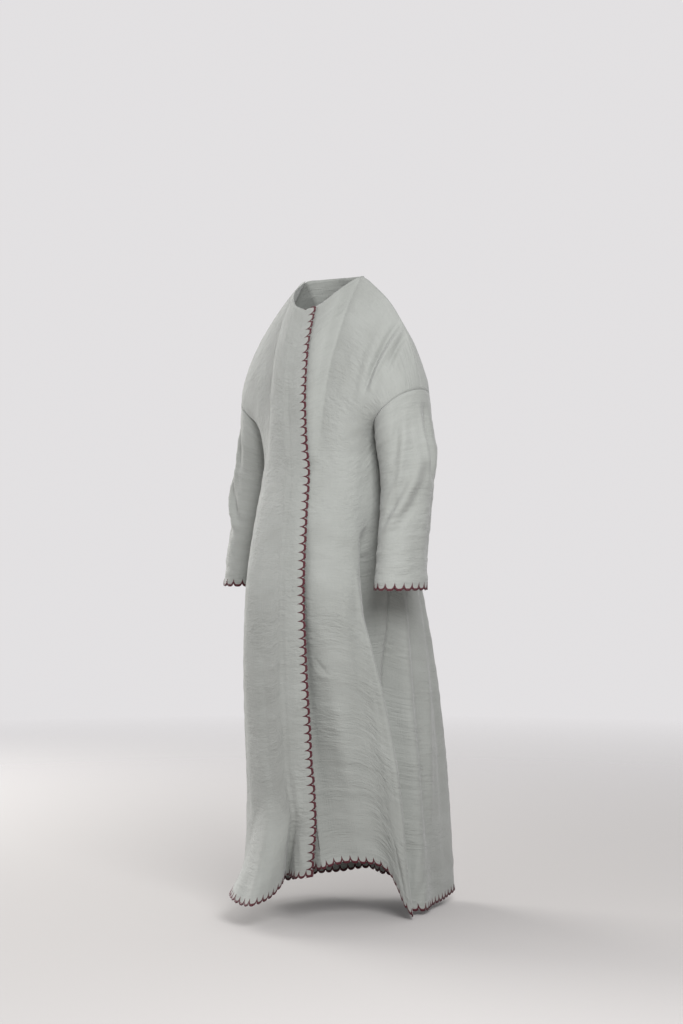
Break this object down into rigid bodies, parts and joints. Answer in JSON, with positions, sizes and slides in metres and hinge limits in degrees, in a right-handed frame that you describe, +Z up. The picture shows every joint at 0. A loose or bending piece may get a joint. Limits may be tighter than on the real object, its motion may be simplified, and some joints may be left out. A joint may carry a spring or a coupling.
{
  "type": "abaya",
  "caption": "Floor-length open-front abaya in crinkled cloth with scalloped, embroidered front edges, hem and cuffs, worn form with one front lapped over the other.",
  "frame": {"origin": "midway between the two shoulder-neck points, where the wearer's shoulders hold the garment up, 1.45 m above the floor the wearer stands on", "axes": "+Z up, -Y the way the wearer faces, +X towards the wearer's left"},
  "size_m": [0.5536, 0.594, 1.4533],
  "materials": {
    "skirt_cloth": "matte crinkled linen-crepe, pale grey-blue to sage grey",
    "sleeve_cloth": "the same cloth, seen slightly lighter and bluer"
  },
  "bodies": {
    "root": {"back": "skirt_cloth", "front_right": "skirt_cloth", "front_left": "skirt_cloth", "sleeve_left": "sleeve_cloth", "sleeve_right": "sleeve_cloth"}
  },
  "joints": []
}
